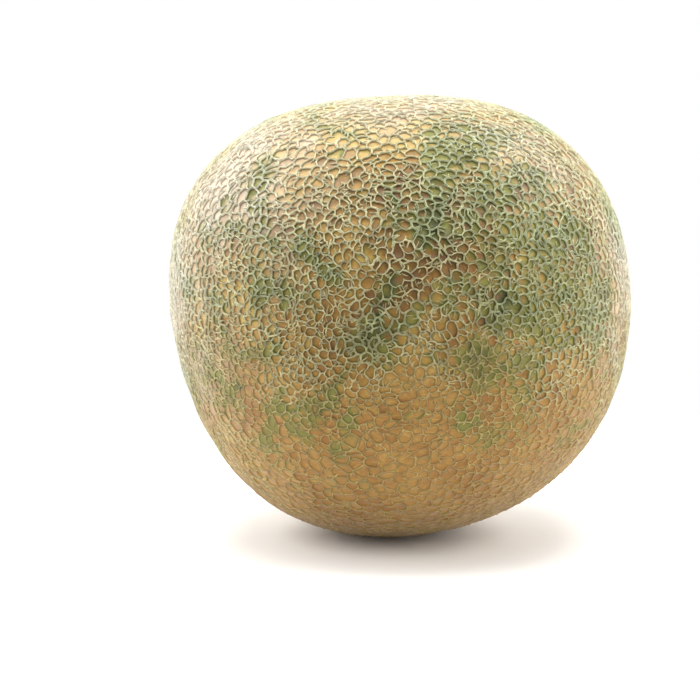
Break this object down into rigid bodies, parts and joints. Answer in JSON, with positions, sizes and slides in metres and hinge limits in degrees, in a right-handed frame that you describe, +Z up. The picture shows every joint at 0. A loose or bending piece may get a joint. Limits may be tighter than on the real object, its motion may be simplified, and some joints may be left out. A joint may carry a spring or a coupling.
{
  "type": "netted melon",
  "caption": "Whole round netted melon lying on its side, with a lobed section, a dented stem end, a blossom end and a small flat spot to rest on.",
  "frame": {"origin": "centre of the bounding box in plan, at the height of the flat spot that the fruit rests on", "axes": "+Z up; the fruit's own axis runs along Y, with the blossom end at -Y and the stem end at +Y; +X to the right of a viewer who faces the blossom end"},
  "size_m": [0.1598, 0.1608, 0.1524],
  "materials": {
    "netted_rind": "matt corky net in cream to sage green over a yellow-ochre rind with green tracts"
  },
  "bodies": {
    "root": {"melon": "netted_rind"}
  },
  "joints": []
}
